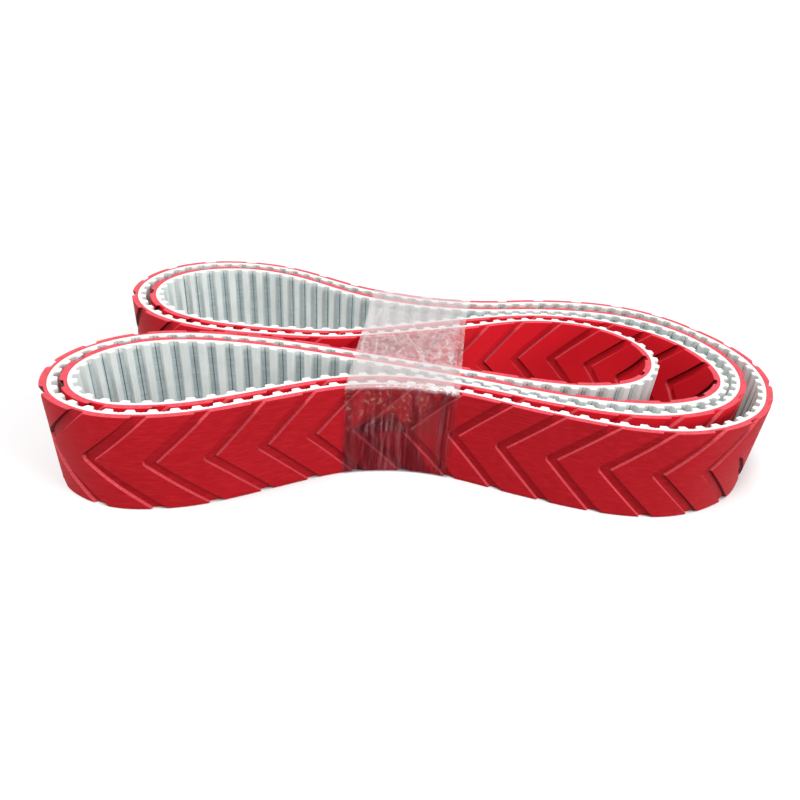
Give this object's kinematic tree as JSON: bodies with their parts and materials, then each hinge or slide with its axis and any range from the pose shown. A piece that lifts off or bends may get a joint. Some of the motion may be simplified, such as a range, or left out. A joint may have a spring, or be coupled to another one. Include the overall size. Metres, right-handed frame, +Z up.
{
  "type": "timing belt",
  "caption": "Nested endless toothed belts with chevron-grooved rubber covers, folded into a two-lobed bundle and tied round the waist with clear stretch film.",
  "frame": {"origin": "centre of the bundle in plan, at floor level on the underside of the film", "axes": "+Z up, across the width of the belts; +X along the bundle, from the folded ends of its two lobes to its rounded end; +Y from the front to the rear"},
  "size_m": [0.3859, 0.2353, 0.0506],
  "materials": {
    "polyurethane": "satin, cast",
    "steel_cord": "stranded, dull",
    "rubber_cover": "matte, ground, with milled grooves",
    "film": "clear, glossy, wrinkled"
  },
  "bodies": {
    "outer_belt": {"outer_belt_toothed_body": "polyurethane", "outer_belt_cord_layer": "steel_cord", "outer_belt_chevron_cover": "rubber_cover", "film_wrap": "film"},
    "inner_belt": {"inner_belt_toothed_body": "polyurethane", "inner_belt_cord_layer": "steel_cord", "inner_belt_chevron_cover": "rubber_cover"}
  },
  "joints": [
    {"name": "inner_belt_lift", "type": "slide", "parent": "outer_belt", "child": "inner_belt", "axis": [0, 0, 1], "range_m": [0, 0.06], "deforming": ["film_wrap"]}
  ]
}
